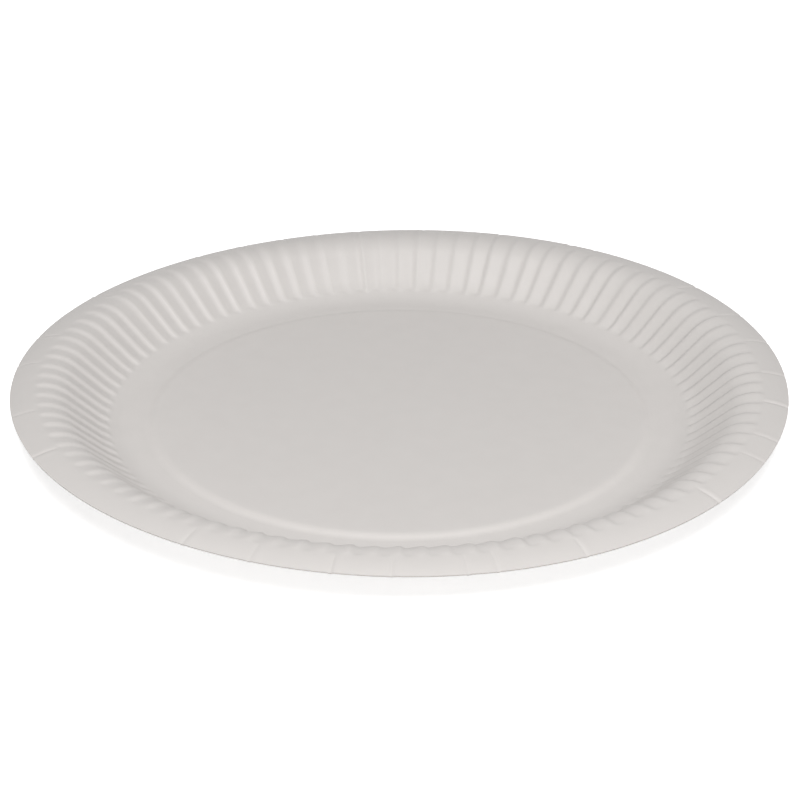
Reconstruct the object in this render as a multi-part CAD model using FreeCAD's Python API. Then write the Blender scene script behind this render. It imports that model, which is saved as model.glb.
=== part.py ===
import FreeCAD, Part
import math
import os

# Pressed paperboard dinner plate.
# Millimetres and degrees. Z points up. The origin is on the plate's axis,
# at the height of the table that the foot ring stands on.

# The board and the overall size
PLATE_DIAMETER = 230.0
PLATE_HEIGHT = 14.4
BOARD_THICKNESS = 0.5

# The flat middle is pressed up above the foot ring, by a step made of two equal bends
CENTRE_RISE = 0.9
STEP_WIDTH = 4.4

# The foot ring is the flat channel that the plate stands on
FOOT_WIDTH = 2.8

# The straight wall, and the bends that lead onto it and off it. Bends are measured in the middle of the board.
WALL_SLOPE = math.radians(40.5)
HEEL_BEND = 17.4
CREST_BEND = 12.0

# The lip turns down from the crest to the cut edge
LIP_BEND = 24.0
LIP_TURN = math.radians(22.0)

# The flutes that gather the board round the wall. They begin part way up the heel and run out past the crest.
FLUTE_COUNT = 100
FLUTE_HEIGHT = 0.56
PLAIN_HEEL_SHARE = 0.55
RUN_OUT_WIDTH = 2.3

# The part of each flute's width that its narrow, steep side takes
STEEP_SHARE = 0.3

# Bends are drawn in rows that each turn by no more than this
ROW_TURN = math.radians(14.0)

# Faces whose edges lie this close are joined
JOINING_DISTANCE = 0.001

ORIGIN = FreeCAD.Vector(0, 0, 0)
UP = FreeCAD.Vector(0, 0, 1)
PITCH = 2 * math.pi / FLUTE_COUNT
GROOVE_ANGLE = PITCH * STEEP_SHARE


class Stretch:
    """One straight or evenly bent stretch of the board's middle line, walked outwards from its inner end.

    turn is the change of slope over the stretch, above 0 where it curls upwards.
    """

    def __init__(self, start, slope, length, turn=0.0):
        self.start = start
        self.slope = slope
        self.length = length
        self.turn = turn

    def slope_at(self, along):
        """The slope at a distance along the stretch."""
        return self.slope + self.turn * along / self.length

    def point(self, along, side=0.0):
        """The radius and height at a distance along the stretch, moved by side square to the board."""
        slope = self.slope_at(along)
        chord_slope = (self.slope + slope) / 2
        half_turn = (slope - self.slope) / 2
        chord = along
        if half_turn != 0:
            chord = along * math.sin(half_turn) / half_turn
        radius = self.start[0] + chord * math.cos(chord_slope) - side * math.sin(slope)
        height = self.start[1] + chord * math.sin(chord_slope) + side * math.cos(slope)
        return (radius, height)


class Profile:
    """The middle line of the board from the axis to the cut edge, as stretches that run on smoothly."""

    def __init__(self, height):
        self.stretches = []
        self.end = (0.0, height)
        self.slope = 0.0
        self.length = 0.0

    def add(self, length, turn=0.0):
        """Lengthen the profile by a straight or an evenly bent stretch."""
        stretch = Stretch(self.end, self.slope, length, turn)
        self.stretches.append(stretch)
        self.end = stretch.point(length)
        self.slope += turn
        self.length += length

    def bend(self, bend_radius, turn):
        """Lengthen the profile by a bend of a given radius."""
        self.add(bend_radius * abs(turn), turn)

    def stretch_at(self, length):
        """The stretch that a length from the axis falls on, and the distance along it."""
        along = length
        for stretch in self.stretches[:-1]:
            if along <= stretch.length:
                return stretch, along
            along -= stretch.length
        return self.stretches[-1], along

    def point(self, length, side=0.0):
        """The radius and height at a length from the axis, moved by side square to the board."""
        stretch, along = self.stretch_at(length)
        return stretch.point(along, side)

    def slope_at(self, length):
        """The slope at a length from the axis."""
        stretch, along = self.stretch_at(length)
        return stretch.slope_at(along)


def wall_length():
    """The length of the straight wall, which makes up the height that the bends and the flutes' ridges leave."""
    rise = PLATE_HEIGHT - BOARD_THICKNESS - FLUTE_HEIGHT / 2
    return (rise - (HEEL_BEND + CREST_BEND) * (1 - math.cos(WALL_SLOPE))) / math.sin(WALL_SLOPE)


def centre_radius():
    """The radius of the flat middle: what the step, foot ring, wall and lip leave of the plate's own."""
    wall_run = (HEEL_BEND + CREST_BEND) * math.sin(WALL_SLOPE) + wall_length() * math.cos(WALL_SLOPE)
    lip_width = (LIP_BEND + BOARD_THICKNESS / 2) * math.sin(LIP_TURN)
    return PLATE_DIAMETER / 2 - lip_width - wall_run - FOOT_WIDTH - STEP_WIDTH


def plate_profile():
    """The whole profile: middle, step down, foot ring, heel, wall, crest and lip."""
    step_turn = 2 * math.atan2(CENTRE_RISE, STEP_WIDTH)
    step_bend = STEP_WIDTH / (2 * math.sin(step_turn))
    profile = Profile(BOARD_THICKNESS / 2 + CENTRE_RISE)
    profile.add(centre_radius())
    profile.step_start = profile.length
    profile.bend(step_bend, -step_turn)
    profile.step_middle = profile.length
    profile.bend(step_bend, step_turn)
    profile.foot_start = profile.length
    profile.add(FOOT_WIDTH)
    profile.foot_end = profile.length
    profile.bend(HEEL_BEND, WALL_SLOPE)
    profile.wall_start = profile.length
    profile.flute_start = profile.foot_end + PLAIN_HEEL_SHARE * (profile.wall_start - profile.foot_end)
    profile.add(wall_length())
    profile.wall_end = profile.length
    profile.bend(CREST_BEND, -WALL_SLOPE)
    profile.crest = profile.length
    profile.flute_end = profile.crest + RUN_OUT_WIDTH
    profile.bend(LIP_BEND, -LIP_TURN)
    return profile


def flute_lift(profile, length):
    """How far a ridge stands above the smooth board, and a groove lies below it.

    It grows evenly up the heel, stays full over the wall and the crest bend, and dies away past the crest.
    """
    grown = (length - profile.flute_start) / (profile.wall_start - profile.flute_start)
    left = (profile.flute_end - length) / RUN_OUT_WIDTH
    return min(grown, left, 1.0) * FLUTE_HEIGHT / 2


def board_point(profile, length, side, angle=0.0, lift=0.0):
    """A point on one face of the board. Between two ridges it lies on the straight line that joins them."""
    half_pitch = PITCH / 2
    radius, height = profile.point(length, side + lift)
    distance = radius * math.cos(half_pitch) / math.cos(angle - half_pitch)
    return FreeCAD.Vector(distance * math.cos(angle), distance * math.sin(angle), height)


def row_lengths(profile, first, last):
    """Where a part of the profile is divided into straight rows, each turning by no more than ROW_TURN."""
    turn = abs(profile.slope_at(last) - profile.slope_at(first))
    rows = max(1, math.ceil(turn / ROW_TURN))
    return [first + (last - first) * number / rows for number in range(rows + 1)]


def facet(*corners):
    """A flat face with these corners."""
    return Part.Face(Part.makePolygon(list(corners) + [corners[0]]))


def smooth_strip(profile, first, last, side):
    """The strip of the board between two neighbouring ridges, where there are no flutes."""
    lengths = row_lengths(profile, first, last)
    near = [board_point(profile, length, side) for length in lengths]
    far = [board_point(profile, length, side, PITCH) for length in lengths]
    rows = range(len(lengths) - 1)
    return [facet(near[row], far[row], far[row + 1], near[row + 1]) for row in rows]


def flank(ridge, groove):
    """One side of a flute. Each row is twisted, so it is folded into two flat faces."""
    faces = []
    for row in range(len(ridge) - 1):
        faces.append(facet(ridge[row], groove[row], ridge[row + 1]))
        faces.append(facet(groove[row], groove[row + 1], ridge[row + 1]))
    return faces


def fluted_strip(profile, first, last, side):
    """One flute: its narrow steep side, its groove and its wide gentle side."""
    lines = []
    for angle, sign in ((0.0, 1), (GROOVE_ANGLE, -1), (PITCH, 1)):
        line = []
        for length in row_lengths(profile, first, last):
            line.append(board_point(profile, length, side, angle, sign * flute_lift(profile, length)))
        lines.append(line)
    ridge, groove, next_ridge = lines
    return flank(ridge, groove) + flank(next_ridge, groove)


def cut_edge_facet(profile):
    """The cut edge of the board between two neighbouring ridges."""
    half = BOARD_THICKNESS / 2
    corners = []
    for side, angle in ((half, 0.0), (half, PITCH), (-half, PITCH), (-half, 0.0)):
        corners.append(board_point(profile, profile.length, side, angle))
    return facet(*corners)


def one_gather(profile):
    """Every face between two neighbouring ridges, apart from the flat middle and the flat foot ring."""
    faces = [cut_edge_facet(profile)]
    for side in (BOARD_THICKNESS / 2, -BOARD_THICKNESS / 2):
        faces += smooth_strip(profile, profile.step_start, profile.step_middle, side)
        faces += smooth_strip(profile, profile.step_middle, profile.foot_start, side)
        faces += smooth_strip(profile, profile.foot_end, profile.flute_start, side)
        faces += fluted_strip(profile, profile.flute_start, profile.wall_start, side)
        faces += fluted_strip(profile, profile.wall_start, profile.wall_end, side)
        faces += fluted_strip(profile, profile.wall_end, profile.crest, side)
        faces += fluted_strip(profile, profile.crest, profile.flute_end, side)
        faces += smooth_strip(profile, profile.flute_end, profile.length, side)
    return Part.Compound(faces)


def ring(profile, length, side):
    """The closed line round the plate at a length from the axis, straight from ridge to ridge."""
    corner = board_point(profile, length, side)
    corners = []
    for number in range(FLUTE_COUNT):
        turned = FreeCAD.Rotation(UP, 360.0 * number / FLUTE_COUNT)
        corners.append(turned.multVec(corner))
    return Part.makePolygon(corners + corners[:1])


def flat_faces(profile, side):
    """The flat middle and the flat foot ring, on one face of the board."""
    middle = Part.Face(ring(profile, profile.step_start, side))
    foot_lines = [ring(profile, length, side) for length in (profile.foot_end, profile.foot_start)]
    return [middle, Part.Face(foot_lines)]


def plate():
    """The pressed sheet: its upper side, its underside and its cut edge, joined into one solid."""
    profile = plate_profile()
    faces = []
    for side in (BOARD_THICKNESS / 2, -BOARD_THICKNESS / 2):
        faces += flat_faces(profile, side)
    gather = one_gather(profile)
    for number in range(FLUTE_COUNT):
        turned = gather.copy()
        turned.rotate(ORIGIN, UP, 360.0 * number / FLUTE_COUNT)
        faces += turned.Faces
    sheet = Part.Compound(faces)
    sheet.sewShape(JOINING_DISTANCE)
    solid = Part.Solid(sheet.Shells[0])
    if solid.Volume < 0:
        solid.reverse()
    return solid


os.makedirs("parts", exist_ok=True)
plate().exportStep("parts/plate.step")
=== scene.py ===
# %% [markdown]
# # A pressed paper plate
# This lesson dresses one disposable dinner plate. The real plate is a single round blank of paperboard. A heated
# press gives it a raised middle, a narrow foot ring, a sloping wall gathered into flutes, and a lip that droops a
# little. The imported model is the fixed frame: it says how wide and how high the plate is, and where it stands.

# %% Load the frame
import math

import bpy
import numpy as np
from mathutils import Matrix, Vector


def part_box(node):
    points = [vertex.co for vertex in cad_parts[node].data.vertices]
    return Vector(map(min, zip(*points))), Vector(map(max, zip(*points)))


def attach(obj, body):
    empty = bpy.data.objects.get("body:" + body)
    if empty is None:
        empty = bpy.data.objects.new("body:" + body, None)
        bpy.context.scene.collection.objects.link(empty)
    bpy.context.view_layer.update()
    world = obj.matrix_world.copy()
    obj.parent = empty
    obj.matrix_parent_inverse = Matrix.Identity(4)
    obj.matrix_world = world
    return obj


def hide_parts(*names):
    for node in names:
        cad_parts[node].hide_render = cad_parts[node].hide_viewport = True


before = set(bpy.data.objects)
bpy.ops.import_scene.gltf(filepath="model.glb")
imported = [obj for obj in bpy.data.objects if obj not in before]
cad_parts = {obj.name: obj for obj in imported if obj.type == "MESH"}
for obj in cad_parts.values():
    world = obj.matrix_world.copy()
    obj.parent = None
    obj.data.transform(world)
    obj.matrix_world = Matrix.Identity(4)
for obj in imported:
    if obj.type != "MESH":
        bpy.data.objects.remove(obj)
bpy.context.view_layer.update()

low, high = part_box("plate")
MILLIMETRE = 0.001
PLATE_DIAMETER = (high.x - low.x) / MILLIMETRE
PLATE_HEIGHT = (high.z - low.z) / MILLIMETRE
print(f"the frame's plate is {PLATE_DIAMETER:.2f} mm across and {PLATE_HEIGHT:.2f} mm high")

# %% [markdown]
# ## The section of the board
# Cut through its axis, the plate is one thin line of even thickness. The line could be drawn as a list of points, but
# a press bends board in plain arcs, so it is simpler and smoother to say how steep the line is at each length from
# the axis. Where the slope stays, the board is straight, and where it changes evenly, the board is an arc. Adding up
# small steps along the slope then gives the radius and the height. Lengths here are millimetres.

# %% Lengths, bends and slopes of the board
BOARD_THICKNESS = 0.5
HALF_BOARD = BOARD_THICKNESS / 2
CENTRE_RISE = 0.9
STEP_WIDTH = 4.4
FOOT_WIDTH = 2.8
WALL_SLOPE = math.radians(40.5)
HEEL_BEND = 17.4
CREST_BEND = 12.0
LIP_BEND = 24.0
LIP_TURN = math.radians(22.0)
FLUTE_HEIGHT = 0.56

step_turn = 2 * math.atan2(CENTRE_RISE, STEP_WIDTH)
step_bend = STEP_WIDTH / (2 * math.sin(step_turn))
bends_rise = (HEEL_BEND + CREST_BEND) * (1 - math.cos(WALL_SLOPE))
wall_length = (PLATE_HEIGHT - BOARD_THICKNESS - FLUTE_HEIGHT / 2 - bends_rise) / math.sin(WALL_SLOPE)
wall_run = (HEEL_BEND + CREST_BEND) * math.sin(WALL_SLOPE) + wall_length * math.cos(WALL_SLOPE)
lip_width = (LIP_BEND + HALF_BOARD) * math.sin(LIP_TURN)
centre_radius = PLATE_DIAMETER / 2 - lip_width - wall_run - FOOT_WIDTH - STEP_WIDTH

# Each stretch of the board: its length, and how much its slope turns along it
STRETCHES = (
    (centre_radius, 0.0),
    (step_bend * step_turn, -step_turn),
    (step_bend * step_turn, step_turn),
    (FOOT_WIDTH, 0.0),
    (HEEL_BEND * WALL_SLOPE, WALL_SLOPE),
    (wall_length, 0.0),
    (CREST_BEND * WALL_SLOPE, -WALL_SLOPE),
    (LIP_BEND * LIP_TURN, -LIP_TURN),
)
marks = np.concatenate(([0.0], np.cumsum([length for length, turn in STRETCHES])))
slopes = np.concatenate(([0.0], np.cumsum([turn for length, turn in STRETCHES])))
(AXIS, STEP_START, STEP_MIDDLE, FOOT_START, FOOT_END, WALL_START, WALL_END, CREST, EDGE) = marks
print(f"the middle is {2 * centre_radius:.1f} mm across, and the board is {2 * EDGE:.1f} mm from edge to edge")

# %% [markdown]
# ## Walking along the section
# The radius and the height at any length come from adding up many small steps along the slope. A formula for each
# arc would be exact, but twenty thousand steps are just as good here, and one rule then serves every stretch.

# %% Walk along the board
WALK_STEPS = 20000
walk = np.linspace(AXIS, EDGE, WALK_STEPS)
walk_slope = np.interp(walk, marks, slopes)
halfway_slope = (walk_slope[1:] + walk_slope[:-1]) / 2
walk_radius = np.concatenate(([0.0], np.cumsum(np.cos(halfway_slope) * np.diff(walk))))
walk_height = np.concatenate(([0.0], np.cumsum(np.sin(halfway_slope) * np.diff(walk))))
walk_height += HALF_BOARD + CENTRE_RISE


def board_line(length):
    """Radius, height and slope of the board's middle line at a length from the axis.

    The radius is the sum of the cosines of the slope up to there, and the height is the sum of its sines.
    """
    radius = np.interp(length, walk, walk_radius)
    height = np.interp(length, walk, walk_height)
    return radius, height, np.interp(length, marks, slopes)


crest_radius, crest_height = board_line(CREST)[:2]
print(f"the crest is at radius {crest_radius:.2f} mm, and its top is {crest_height + HALF_BOARD:.2f} mm high")

# %% [markdown]
# ## Flutes
# A flat blank has too much board for a sloping wall, so the press gathers it into a hundred flutes. They lean one
# way round: each has a narrow steep side, a flat groove and a wide gentle side. A texture could shade such waves,
# but they would vanish from the outline and from the underside, so they are real height here. Three straight lines
# are the nearest simple form. Their corners are rounded by averaging the wave over a small share of its width.

# %% One flute
FLUTE_COUNT = 100
STEEP_SHARE = 0.22
GROOVE_SHARE = 0.15
CORNER_SHARE = 0.14
CORNER_SAMPLES = 9
FLUTE_PITCH = 2 * math.pi / FLUTE_COUNT


def leaning_wave(turns):
    """A wave that falls from 1 to -1 over STEEP_SHARE of its width, stays low over GROOVE_SHARE and climbs back.

    turns counts flutes, so a whole number is a ridge. The value is the mean over CORNER_SHARE of a flute.
    """
    corners = (0.0, STEEP_SHARE, STEEP_SHARE + GROOVE_SHARE, 1.0)
    total = np.zeros_like(turns)
    for shift in np.linspace(-CORNER_SHARE / 2, CORNER_SHARE / 2, CORNER_SAMPLES):
        total += np.interp(np.mod(turns + shift, 1.0), corners, (1.0, -1.0, -1.0, 1.0))
    return total / CORNER_SAMPLES


groove_bottom = leaning_wave(np.array([STEEP_SHARE + GROOVE_SHARE / 2]))[0]
print(f"the ridge is at {leaning_wave(np.zeros(1))[0]:.2f} and the groove at {groove_bottom:.2f} of half the height")

# %% [markdown]
# The flutes begin part way up the heel and end past the crest. A sudden start would leave a hard line, so an even S
# brings them in and out. In the photo they reach further out on the far side, and the run-out allows for that.

# %% Where the flutes begin and end


def ease(value, first, last):
    """0 up to first and 1 from last on, with an even S between: three t squared less two t cubed."""
    share = np.clip((value - first) / (last - first), 0.0, 1.0)
    return share * share * (3 - 2 * share)


PLAIN_HEEL_SHARE = 0.55
RUN_IN_WIDTH = 2.2
RUN_OUT_WIDTH = 2.3
FAR_RUN_OUT = 4.0
FAR_AZIMUTH = math.radians(97.0)
FLUTE_START = FOOT_END + PLAIN_HEEL_SHARE * (WALL_START - FOOT_END)
FLUTE_FULL = FLUTE_START + RUN_IN_WIDTH
FLUTE_END = CREST + RUN_OUT_WIDTH


def flute_strength(length, angle):
    """How much of the full flute height shows: none on the foot, all of it on the wall, none on the lip.

    The flutes run out past the crest, and furthest on the far side: by the fourth power of the angle's cosine.
    """
    further = FAR_RUN_OUT * np.clip(np.cos(angle - FAR_AZIMUTH), 0.0, None) ** 4
    runs_out = ease(length - further, CREST, FLUTE_END)
    return ease(length, FLUTE_START, FLUTE_FULL) * (1 - runs_out)


print(f"{FLUTE_COUNT} flutes, one every {2 * math.pi * crest_radius / FLUTE_COUNT:.2f} mm round the crest")

# %% [markdown]
# No two flutes on a pressed plate are quite alike, because the blank never gathers evenly. A little chance in each
# flute's height and place shows that, and a fixed seed makes it the same each time.

# %% Uneven flutes
SEED = 17
HEIGHT_SPREAD = 0.13
PLACE_SPREAD = 0.03
chance = np.random.default_rng(SEED)
flute_heights = 1 + HEIGHT_SPREAD * chance.standard_normal(FLUTE_COUNT)
flute_places = PLACE_SPREAD * chance.standard_normal(FLUTE_COUNT)


def around(values, turns):
    """One value a flute, run evenly from each flute to the next and round to the first again."""
    return np.interp(np.mod(turns, FLUTE_COUNT), np.arange(FLUTE_COUNT + 1), np.append(values, values[0]))


def flute_lift(length, angle):
    """How far the flutes lift the board square to itself: strength times half the height times the wave."""
    turns = angle / FLUTE_PITCH
    wave = leaning_wave(turns + around(flute_places, turns))
    return flute_strength(length, angle) * around(flute_heights, turns) * wave * FLUTE_HEIGHT / 2


print(f"the flutes stand {flute_heights.min():.2f} to {flute_heights.max():.2f} of their usual height")

# %% [markdown]
# ## Creases in the lip
# Past the crest the flutes are pressed flat again, but the board there still has to shrink as it droops. It does so
# in a few fine radial creases. Each is a shallow groove about a millimetre wide, with one side pushed up a little.
# Bump could draw them, but real depth shows from every side, and on the underside too.

# %% Crease places
# Azimuth in degrees from the plate's right-hand side, and depth in millimetres
CREASES = (
    (0.5, 0.16), (12.0, 0.14), (22.0, 0.12), (34.5, 0.24), (56.0, 0.12), (60.5, 0.24), (73.0, 0.12), (86.0, 0.10),
    (97.0, 0.12), (104.0, 0.10), (110.0, 0.14), (117.0, 0.12), (125.0, 0.14), (147.5, 0.26), (165.0, 0.16),
    (175.5, 0.16), (193.0, 0.16), (206.5, 0.26), (240.0, 0.16), (250.0, 0.14), (261.0, 0.26), (269.0, 0.20),
    (279.0, 0.20), (283.0, 0.20), (295.5, 0.18), (319.5, 0.26), (333.0, 0.14), (339.5, 0.16), (350.5, 0.26),
)
CREASE_WIDTH = 0.55
PUSHED_UP_SHARE = 0.4
PUSHED_UP_BESIDE = 1.2
PUSHED_UP_WIDTH = 0.8
CREASE_START = CREST + 1.0
CREASE_FULL = CREST + 3.0
crease_angles = np.radians([azimuth for azimuth, depth in CREASES])
crease_depths = np.array([depth for azimuth, depth in CREASES])


def crease_lift(length, angle, radius):
    """Grooves across the lip: less depth times a bell curve of the distance from the crease's line.

    The pushed-up side is a wider, lower bell curve beside the first.
    """
    shown = ease(length, CREASE_START, CREASE_FULL)
    lift = np.zeros(np.broadcast(length, angle).shape)
    for line, depth in zip(crease_angles, crease_depths):
        beside = radius * (np.mod(angle - line + math.pi, 2 * math.pi) - math.pi)
        lift -= depth * np.exp(-(beside / CREASE_WIDTH) ** 2)
        lift += PUSHED_UP_SHARE * depth * np.exp(-((beside - PUSHED_UP_BESIDE) / PUSHED_UP_WIDTH) ** 2)
    return shown * lift


print(f"{len(CREASES)} creases, the deepest {crease_depths.max():.2f} mm")

# %% [markdown]
# ## A rim that isn't quite level
# Board springs back a little once it leaves the press, and a real plate's rim rises and falls by a millimetre or so.
# The whole plate could be bent, but it would no longer stand flat. So two slow waves round the rim show it, and they
# grow with the square of the way out from the foot ring, which stays on the table.

# %% Spring-back
# Millimetres at the edge: the cosine and the sine part of one wave a turn, and of two
TILT_WAVE = (0.12, -0.61)
TWIST_WAVE = (0.35, 0.85)
FOOT_RADIUS = board_line(FOOT_END)[0]


def spring_back(radius, angle):
    """How far the rim stands up: the share of the way from the foot ring, squared, times one and two waves a turn."""
    one = TILT_WAVE[0] * np.cos(angle) + TILT_WAVE[1] * np.sin(angle)
    two = TWIST_WAVE[0] * np.cos(2 * angle) + TWIST_WAVE[1] * np.sin(2 * angle)
    share = np.clip((radius - FOOT_RADIUS) / (PLATE_DIAMETER / 2 - FOOT_RADIUS), 0.0, None)
    return share ** 2 * (one + two)


rim = spring_back(PLATE_DIAMETER / 2, np.linspace(0, 2 * math.pi, FLUTE_COUNT))
print(f"the rim stands from {rim.min():.2f} to {rim.max():.2f} mm above its even height")

# %% [markdown]
# ## A middle that settles
# The press doesn't raise the middle evenly either. In the photo its edge is plain on the near side and can't be made
# out on the far side, so the middle sags there by a fraction of a millimetre.

# %% The sagging middle
MIDDLE_SAG = 0.75


def middle_settling(radius, angle):
    """How far the middle lies below its full height: the sag times the share of the way to the far edge, squared.

    The step round the middle takes the difference up, so the foot ring and everything outside it stay as they are.
    """
    far_share = (1 + np.minimum(radius / centre_radius, 1.0) * np.sin(angle)) / 2
    return MIDDLE_SAG * far_share ** 2 * (1 - ease(radius, centre_radius, centre_radius + STEP_WIDTH))


print(f"at its centre the middle sags by {middle_settling(0.0, 0.0):.2f} mm")

# %% [markdown]
# ## The sheet
# Now the grid. One parameter runs round the plate, and the other runs from the axis out over the upper face, round
# the cut edge, and back along the underside to the axis. Both faces are the same middle line, moved by half the
# thickness each way and lifted by the same flutes, so the board keeps its thickness. Columns stand closer on each
# steep side and at each crease, because that is where the surface turns fastest.

# %% Rows and columns of the grid
# Columns as shares of one flute, and beside each crease in millimetres at the edge
FLUTE_COLUMNS = (0.0, 0.1, 0.2, 0.3, 0.4, 0.52, 0.64, 0.76, 0.88)
flute_columns = FLUTE_PITCH * np.add.outer(np.arange(FLUTE_COUNT), FLUTE_COLUMNS).ravel()
CREASE_COLUMNS = (-0.5, 0.0, 0.5)
crease_columns = np.add.outer(crease_angles, np.array(CREASE_COLUMNS) * 2 / PLATE_DIAMETER).ravel()

# Angles are rounded, so that a column which comes up twice is kept once
ANGLE_DECIMALS = 6
all_columns = np.mod(np.concatenate((flute_columns, crease_columns)), 2 * math.pi)
angles = np.unique(np.round(all_columns, ANGLE_DECIMALS))


def rows(first, last, count):
    """count lengths from the axis, evenly spaced from first up to just short of last."""
    return np.linspace(first, last, count, endpoint=False)


# A row this far inside the step keeps the middle's shading even right up to it
NEAR_STEP = STEP_START - 2.0
upper_lengths = np.concatenate((
    rows(AXIS, NEAR_STEP, 4), rows(NEAR_STEP, STEP_START, 1), rows(STEP_START, FOOT_START, 10),
    rows(FOOT_START, FOOT_END, 2), rows(FOOT_END, FLUTE_START, 4), rows(FLUTE_START, FLUTE_FULL, 5),
    rows(FLUTE_FULL, WALL_START, 2), rows(WALL_START, WALL_END, 4), rows(WALL_END, CREST, 9),
    rows(CREST, FLUTE_END, 5), rows(FLUTE_END, EDGE, 7), [EDGE],
))
under_lengths = np.concatenate((
    [AXIS], rows(STEP_START, FOOT_START, 6), rows(FOOT_START, FOOT_END, 1), rows(FOOT_END, FLUTE_START, 4),
    rows(FLUTE_START, FLUTE_FULL, 4), rows(FLUTE_FULL, WALL_START, 2), rows(WALL_START, WALL_END, 3),
    rows(WALL_END, CREST, 8), rows(CREST, FLUTE_END, 4), rows(FLUTE_END, EDGE, 6), [EDGE],
))
path_lengths = np.concatenate((upper_lengths, under_lengths[::-1]))
path_sides = np.concatenate((np.full(len(upper_lengths), HALF_BOARD), np.full(len(under_lengths), -HALF_BOARD)))
print(f"{len(path_lengths)} rows by {len(angles)} columns")

# %% [markdown]
# Every part above now meets in one function of length and angle. Separate pieces for wall, lip and flutes would need
# joining, and one sheet is what the real plate is. A point starts on the middle line and moves square to the board by
# half its thickness and by the flutes and creases. Then it is turned about the axis, and rises or sinks.

# %% Work out every point of the sheet


def sheet_points(lengths, sides, turns):
    """Points of the board, one row a length and one column an angle, in metres.

    Each is the middle line's point, moved square to the line by its side plus the flutes and creases there, turned
    about the axis by its angle, raised by the spring-back and lowered by the settling of the middle.
    """
    length, angle = np.meshgrid(lengths, turns, indexing="ij")
    radius, height, slope = board_line(length)
    square = sides[:, None] + flute_lift(length, angle) + crease_lift(length, angle, radius)
    reach = radius - square * np.sin(slope)
    rise = height + square * np.cos(slope) + spring_back(reach, angle) - middle_settling(radius, angle)
    return np.stack((reach * np.cos(angle), reach * np.sin(angle), rise), axis=-1) * MILLIMETRE


grid = sheet_points(path_lengths, path_sides, angles)
sheet_heights = grid[..., 2] / MILLIMETRE
print(f"the sheet reaches from {sheet_heights.min():.2f} to {sheet_heights.max():.2f} mm in height")

# %% [markdown]
# A grid could be made by Blender's own tools and bent by modifiers, but numbers that are already known go straight
# into a mesh. The rows close round the plate, and the first and the last row shrink to one point on the axis.

# %% Turn the grid into a closed mesh


def closed_sheet(name, grid):
    """A mesh of quads between neighbouring rows and columns, with one shared point at each end of the path."""
    row_count, column_count, axes = grid.shape
    points = np.concatenate((grid[0, :1], grid[1:-1].reshape(-1, axes), grid[-1, :1]))
    number = 1 + np.arange((row_count - 2) * column_count).reshape(row_count - 2, column_count)
    beside = np.roll(number, -1, axis=1)
    quads = np.stack((number[:-1], number[1:], beside[1:], beside[:-1]), axis=-1).reshape(-1, 4)
    first_fan = np.stack((np.zeros(column_count, int), number[0], beside[0]), axis=-1)
    last_fan = np.stack((number[-1], np.full(column_count, len(points) - 1), beside[-1]), axis=-1)
    mesh = bpy.data.meshes.new(name)
    mesh.from_pydata(points.tolist(), [], first_fan.tolist() + quads.tolist() + last_fan.tolist())
    mesh.update()
    return mesh


# Neighbouring faces that turn by more than this keep a sharp edge between them
SHARP_TURN = math.radians(50.0)
sheet_mesh = closed_sheet("pressed_plate", grid)
sheet_mesh.polygons.foreach_set("use_smooth", np.ones(len(sheet_mesh.polygons), bool))
sheet_mesh.set_sharp_from_angle(angle=SHARP_TURN)
plate = bpy.data.objects.new("pressed_plate", sheet_mesh)
bpy.context.scene.collection.objects.link(plate)
sheet_mesh.calc_loop_triangles()
print(f"{len(sheet_mesh.loop_triangles)} triangles")

# %% [markdown]
# The cut edge is the ring of faces between the last row of the upper side and the first row of the underside. It gets
# a finish of its own below, so those faces are marked now.

# %% Mark the cut edge
edge_row = len(upper_lengths) - 1
column_count = len(angles)
finish_numbers = np.zeros(len(sheet_mesh.polygons), np.int32)
edge_first = column_count + (edge_row - 1) * column_count
finish_numbers[edge_first:edge_first + column_count] = 1
sheet_mesh.polygons.foreach_set("material_index", finish_numbers)
print(f"{finish_numbers.sum()} of {len(finish_numbers)} faces are the cut edge")

# %% [markdown]
# ## Colours and nodes
# Screen colours are written as sRGB hex, but a shader works with linear light, so one function turns them. Another
# small function adds any node with its settings and links, which keeps each material short.

# %% Helpers for materials


def linear(hex_colour):
    """Linear red, green, blue and alpha of an sRGB hex colour.

    A dark share is divided by 12.92. Any other has 0.055 added, is divided by 1.055 and raised to the power 2.4.
    """
    shares = [int(hex_colour[place:place + 2], 16) / 255 for place in (1, 3, 5)]
    curved = [share / 12.92 if share <= 0.04045 else ((share + 0.055) / 1.055) ** 2.4 for share in shares]
    return (*curved, 1.0)


def add_node(tree, kind, values=None, links=None, **settings):
    """Add one node, set its settings and its sockets' own values, and link the sockets that another node feeds."""
    node = tree.nodes.new(kind)
    for setting, value in settings.items():
        setattr(node, setting, value)
    for socket, value in (values or {}).items():
        node.inputs[socket].default_value = value
    for socket, source in (links or {}).items():
        tree.links.new(source, node.inputs[socket])
    return node


def new_material(name):
    """An empty node material and its tree."""
    material = bpy.data.materials.new(name)
    material.use_nodes = True
    material.node_tree.nodes.clear()
    return material, material.node_tree


# %% [markdown]
# ## Calendered white paperboard
# The faces are bleached board, rolled smooth between steel cylinders and then pressed hot. That leaves a matte warm
# white with a low, wide sheen on the bends, a cloudy look from the way fibres clump as the sheet forms, and a fine
# tooth of fibres that shows only from close by. Fibre is a few hundredths of a millimetre wide, too fine to show, so
# its tooth is drawn about ten times as coarse.

# %% Paperboard
BOARD_WHITE = "#D2CECB"
BOARD_CLOUD = "#CECAC7"
BOARD_ROUGHNESS = 0.55
BOARD_IOR = 1.5
CLOUD_MM = 7.0
CLOUD_DETAIL = 3.0
TOOTH_MM = 0.45
TOOTH_DETAIL = 4.0
TOOTH_DEPTH_MM = 0.008


def per_metre(pattern_mm):
    """The scale of a noise texture whose pattern repeats about every pattern_mm: one over that length in metres."""
    return 1 / (pattern_mm * MILLIMETRE)


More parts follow.
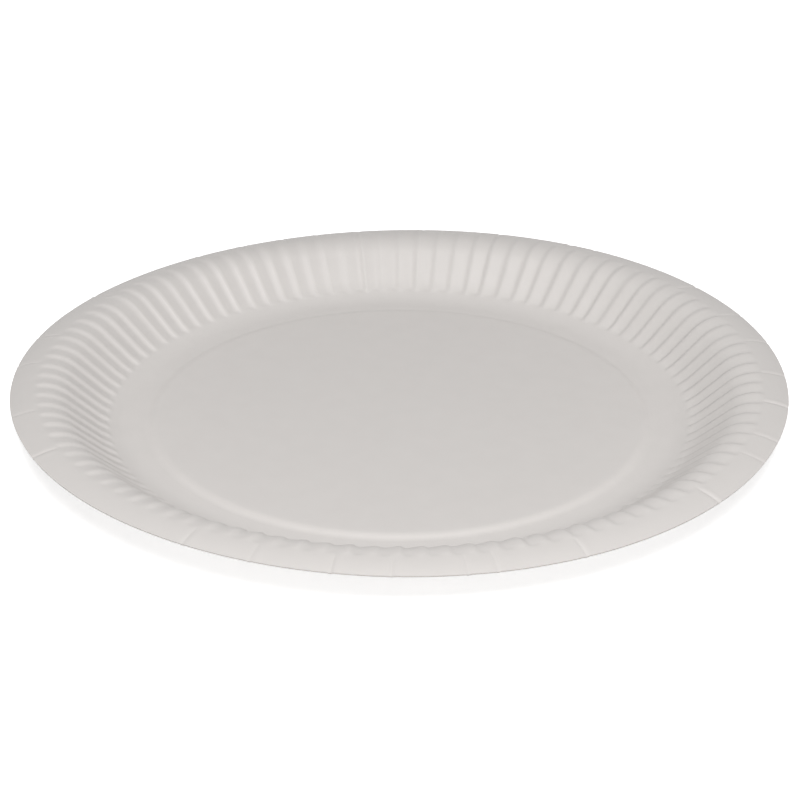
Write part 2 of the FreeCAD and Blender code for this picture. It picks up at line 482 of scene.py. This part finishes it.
def paperboard():
    """Matte warm white, faintly clouded, with a fine tooth of fibres."""
    material, tree = new_material("calendered_paperboard")
    place = add_node(tree, "ShaderNodeTexCoord").outputs["Object"]
    cloud = add_node(
        tree, "ShaderNodeTexNoise", {"Scale": per_metre(CLOUD_MM), "Detail": CLOUD_DETAIL}, {"Vector": place},
    )
    colour = add_node(tree, "ShaderNodeMix", data_type="RGBA", links={"Factor": cloud.outputs["Fac"]})
    colour.inputs["A"].default_value = linear(BOARD_CLOUD)
    colour.inputs["B"].default_value = linear(BOARD_WHITE)
    tooth = add_node(
        tree, "ShaderNodeTexNoise", {"Scale": per_metre(TOOTH_MM), "Detail": TOOTH_DETAIL}, {"Vector": place},
    )
    bump = add_node(
        tree, "ShaderNodeBump", {"Strength": 1.0, "Distance": TOOTH_DEPTH_MM * MILLIMETRE},
        {"Height": tooth.outputs["Fac"]},
    )
    board = add_node(
        tree, "ShaderNodeBsdfPrincipled", {"Roughness": BOARD_ROUGHNESS, "IOR": BOARD_IOR},
        {"Base Color": colour.outputs["Result"], "Normal": bump.outputs["Normal"]},
    )
    add_node(tree, "ShaderNodeOutputMaterial", links={"Surface": board.outputs["BSDF"]})
    return material


# %% [markdown]
# ## The cut edge
# A steel die cuts the blank, and the cut shows the inside of the board: torn fibres with no rolled skin. It is
# rougher than the faces, and its tone is less even.

# %% Cut edge
EDGE_GREY = "#CFCBC6"
EDGE_PALE = "#DAD6D2"
EDGE_ROUGHNESS = 0.9
TORN_FIBRE_MM = 0.3


def cut_board():
    """Dull fibre with a rough, uneven tone."""
    material, tree = new_material("die_cut_edge")
    place = add_node(tree, "ShaderNodeTexCoord").outputs["Object"]
    fibre = add_node(tree, "ShaderNodeTexNoise", {"Scale": per_metre(TORN_FIBRE_MM)}, {"Vector": place})
    colour = add_node(tree, "ShaderNodeMix", data_type="RGBA", links={"Factor": fibre.outputs["Fac"]})
    colour.inputs["A"].default_value = linear(EDGE_GREY)
    colour.inputs["B"].default_value = linear(EDGE_PALE)
    edge = add_node(
        tree, "ShaderNodeBsdfPrincipled", {"Roughness": EDGE_ROUGHNESS, "IOR": BOARD_IOR},
        {"Base Color": colour.outputs["Result"]},
    )
    add_node(tree, "ShaderNodeOutputMaterial", links={"Surface": edge.outputs["BSDF"]})
    return material


sheet_mesh.materials.append(paperboard())
sheet_mesh.materials.append(cut_board())
print("finishes:", [material.name for material in sheet_mesh.materials])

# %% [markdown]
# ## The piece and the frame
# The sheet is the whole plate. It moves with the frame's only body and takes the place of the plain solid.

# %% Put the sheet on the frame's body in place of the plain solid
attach(plate, "root")
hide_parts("plate")

# %% [markdown]
# ## The floor and the background
# The photograph's background is plain white. More light would wash the plate out, so the white is kept for the rays
# that see the surroundings: those from the camera, and those that a mirror or glass would send on.

# %% Rays that see the surroundings


def seen_directly(tree):
    """1 for the camera's rays and for those that a mirror or glass sends on, and 0 for light itself."""
    path = add_node(tree, "ShaderNodeLightPath")
    glossy = add_node(
        tree, "ShaderNodeMath", operation="MAXIMUM",
        links={0: path.outputs["Is Camera Ray"], 1: path.outputs["Is Glossy Ray"]},
    )
    either = add_node(
        tree, "ShaderNodeMath", operation="MAXIMUM",
        links={0: glossy.outputs[0], 1: path.outputs["Is Transmission Ray"]},
    )
    return either.outputs[0]


# %% [markdown]
# The plate stands on a plain white floor. The floor is lit like anything else, so it keeps the plate's soft shadow.
# Some light of its own, which only those rays see, brings the open floor up to white. It grows away from the plate,
# where the lamp reaches less, so that the floor meets the background without a line.

# %% Paint for the floor
FLOOR_WHITE = "#F2F2F2"
FLOOR_LIFT = 0.7

# Metres from the axis where the floor's own light begins to grow, and where it is plain white
LIFT_GROWS_FROM = 0.2
LIFT_IS_WHITE_AT = 0.7


def floor_paint():
    """Matte white that the camera sees a little brighter than its light makes it."""
    material, tree = new_material("matte_white_floor")
    place = add_node(tree, "ShaderNodeTexCoord").outputs["Object"]
    away = add_node(tree, "ShaderNodeVectorMath", links={0: place}, operation="LENGTH")
    growing = add_node(
        tree, "ShaderNodeMapRange",
        {"From Min": LIFT_GROWS_FROM, "From Max": LIFT_IS_WHITE_AT, "To Min": FLOOR_LIFT, "To Max": 1.0},
        {"Value": away.outputs["Value"]},
    )
    lift = add_node(
        tree, "ShaderNodeMath", links={0: seen_directly(tree), 1: growing.outputs["Result"]}, operation="MULTIPLY",
    )
    paint = add_node(
        tree, "ShaderNodeBsdfPrincipled",
        {"Base Color": linear(FLOOR_WHITE), "Roughness": 1.0, "Specular IOR Level": 0.0,
         "Emission Color": linear("#FFFFFF")},
        {"Emission Strength": lift.outputs[0]},
    )
    add_node(tree, "ShaderNodeOutputMaterial", links={"Surface": paint.outputs["BSDF"]})
    return material


# %% Floor
FLOOR_SIZE = 6.0
FLOOR_DROP = 0.00005
half_floor = FLOOR_SIZE / 2
floor_mesh = bpy.data.meshes.new("floor")
floor_mesh.from_pydata(
    [(-half_floor, -half_floor, -FLOOR_DROP), (half_floor, -half_floor, -FLOOR_DROP),
     (half_floor, half_floor, -FLOOR_DROP), (-half_floor, half_floor, -FLOOR_DROP)],
    [], [(0, 1, 2, 3)],
)
floor_mesh.materials.append(floor_paint())
floor = bpy.data.objects.new("floor", floor_mesh)
bpy.context.scene.collection.objects.link(floor)
print(f"the floor is {FLOOR_SIZE:.0f} m wide")

# %% [markdown]
# The world lights the plate only faintly from every side, and to the camera it is plain white. One mix between those
# two strengths, led by the kind of ray, does both without a backdrop.

# %% World
AMBIENT = 0.08
world = bpy.data.worlds.new("white_studio")
bpy.context.scene.world = world
world.use_nodes = True
world.node_tree.nodes.clear()
level = add_node(
    world.node_tree, "ShaderNodeMapRange", {"To Min": AMBIENT, "To Max": 1.0},
    {"Value": seen_directly(world.node_tree)},
)
room = add_node(world.node_tree, "ShaderNodeBackground", {"Color": linear("#FFFFFF")},
                {"Strength": level.outputs["Result"]})
add_node(world.node_tree, "ShaderNodeOutputWorld", links={"Surface": room.outputs["Background"]})

# %% [markdown]
# ## Light
# One soft box hangs high on the camera's side, a touch to the right. It is over twice as wide as the plate, so it
# models the flutes gently and throws no hard shadow. A bare lamp would draw them harder than the photo does.

# %% Soft box


def aim(thing, place, target):
    """Put a lamp or camera at place, looking at target."""
    towards = (target - place).to_track_quat("-Z", "Y").to_matrix().to_4x4()
    thing.matrix_world = Matrix.Translation(place) @ towards


def from_plate(azimuth_degrees, elevation_degrees, distance):
    """A place seen from the plate's centre in a direction, at a distance in metres.

    Its height is the distance times the sine of the elevation. The rest goes with the azimuth's cosine and sine.
    """
    azimuth = math.radians(azimuth_degrees)
    elevation = math.radians(elevation_degrees)
    flat = math.cos(elevation)
    return distance * Vector((flat * math.cos(azimuth), flat * math.sin(azimuth), math.sin(elevation)))


BOX_SIZE = 0.6
BOX_POWER = 15.0
BOX_AZIMUTH = 272
BOX_ELEVATION = 57
BOX_DISTANCE = 1.2
box_lamp = bpy.data.lights.new("soft_box", "AREA")
box_lamp.shape = "SQUARE"
box_lamp.size = BOX_SIZE
box_lamp.energy = BOX_POWER
soft_box = bpy.data.objects.new("soft_box", box_lamp)
bpy.context.scene.collection.objects.link(soft_box)
aim(soft_box, from_plate(BOX_AZIMUTH, BOX_ELEVATION, BOX_DISTANCE), Vector((0, 0, 0)))
print(f"the soft box is {BOX_SIZE / (PLATE_DIAMETER * MILLIMETRE):.1f} plates wide")

# %% [markdown]
# ## The camera
# The photograph looks down on the plate at a little over 27 degrees, from well back with a long lens. For a distance
# of 0.8 m, its focal length in pixels was worked out from the plate's outline. The plate's centre lies a little below
# the middle of the picture. Turning the camera would change the view, so a small shift of the lens gives that.

# %% Camera
PICTURE_PIXELS = 800
FOCAL_PIXELS = 2669.1
CENTRE_PIXEL = (399.24, 415.08)
SENSOR_MM = 36.0
camera_data = bpy.data.cameras.new("camera")
camera_data.sensor_width = SENSOR_MM
camera_data.lens = SENSOR_MM * FOCAL_PIXELS / PICTURE_PIXELS
camera_data.shift_x = 0.5 - CENTRE_PIXEL[0] / PICTURE_PIXELS
camera_data.shift_y = CENTRE_PIXEL[1] / PICTURE_PIXELS - 0.5
camera = bpy.data.objects.new("camera", camera_data)
bpy.context.scene.collection.objects.link(camera)
VIEW_AZIMUTH = 270
VIEW_ELEVATION = 27.19
VIEW_DISTANCE = 0.8
plate_middle = Vector((0, 0, BOARD_THICKNESS * MILLIMETRE))
aim(camera, plate_middle + from_plate(VIEW_AZIMUTH, VIEW_ELEVATION, VIEW_DISTANCE), plate_middle)
print(f"the lens is {camera_data.lens:.1f} mm long on a {SENSOR_MM:.0f} mm sensor")
bpy.context.scene.camera = camera
bpy.context.scene.view_settings.view_transform = "Standard"
